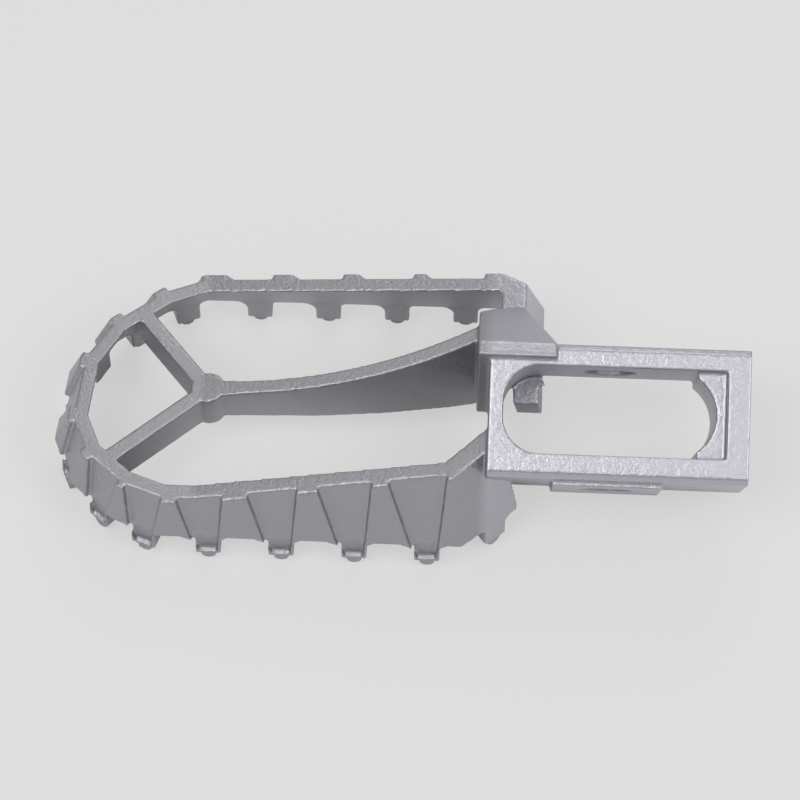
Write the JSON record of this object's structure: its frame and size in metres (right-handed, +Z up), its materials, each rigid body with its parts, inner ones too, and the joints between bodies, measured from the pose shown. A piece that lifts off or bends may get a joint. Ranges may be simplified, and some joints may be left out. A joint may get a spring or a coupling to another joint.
{
  "type": "motorcycle foot peg",
  "caption": "One-piece cast foot peg: open toothed tread ring with a Y-shaped brace and a tilted, slotted pivot block with a cross bore.",
  "frame": {"origin": "middle of the pivot bore, on its axis", "axes": "+X from the tread's tip towards the pivot end, +Y from the front rail towards the rear rail, +Z up with the teeth down"},
  "size_m": [0.1344, 0.0583, 0.036],
  "materials": {
    "plated_cast_steel": "zinc-plated investment casting, satin, fine cast grain"
  },
  "bodies": {
    "root": {"front_rail": "plated_cast_steel", "front_corner_rail": "plated_cast_steel", "tip_rail": "plated_cast_steel", "rear_corner_rail": "plated_cast_steel", "rear_rail": "plated_cast_steel", "rear_root_wall": "plated_cast_steel", "front_root_wall": "plated_cast_steel", "front_teeth": "plated_cast_steel", "front_corner_teeth": "plated_cast_steel", "tip_teeth": "plated_cast_steel", "rear_corner_teeth": "plated_cast_steel", "rear_teeth": "plated_cast_steel", "root_tooth": "plated_cast_steel", "brace_hub": "plated_cast_steel", "brace_front_arm": "plated_cast_steel", "brace_rear_arm": "plated_cast_steel", "tail_arm": "plated_cast_steel", "root_gusset": "plated_cast_steel", "pivot_root": "plated_cast_steel", "pivot_end": "plated_cast_steel", "pivot_front_wall": "plated_cast_steel", "pivot_rear_wall": "plated_cast_steel", "pivot_boss": "plated_cast_steel"}
  },
  "joints": []
}
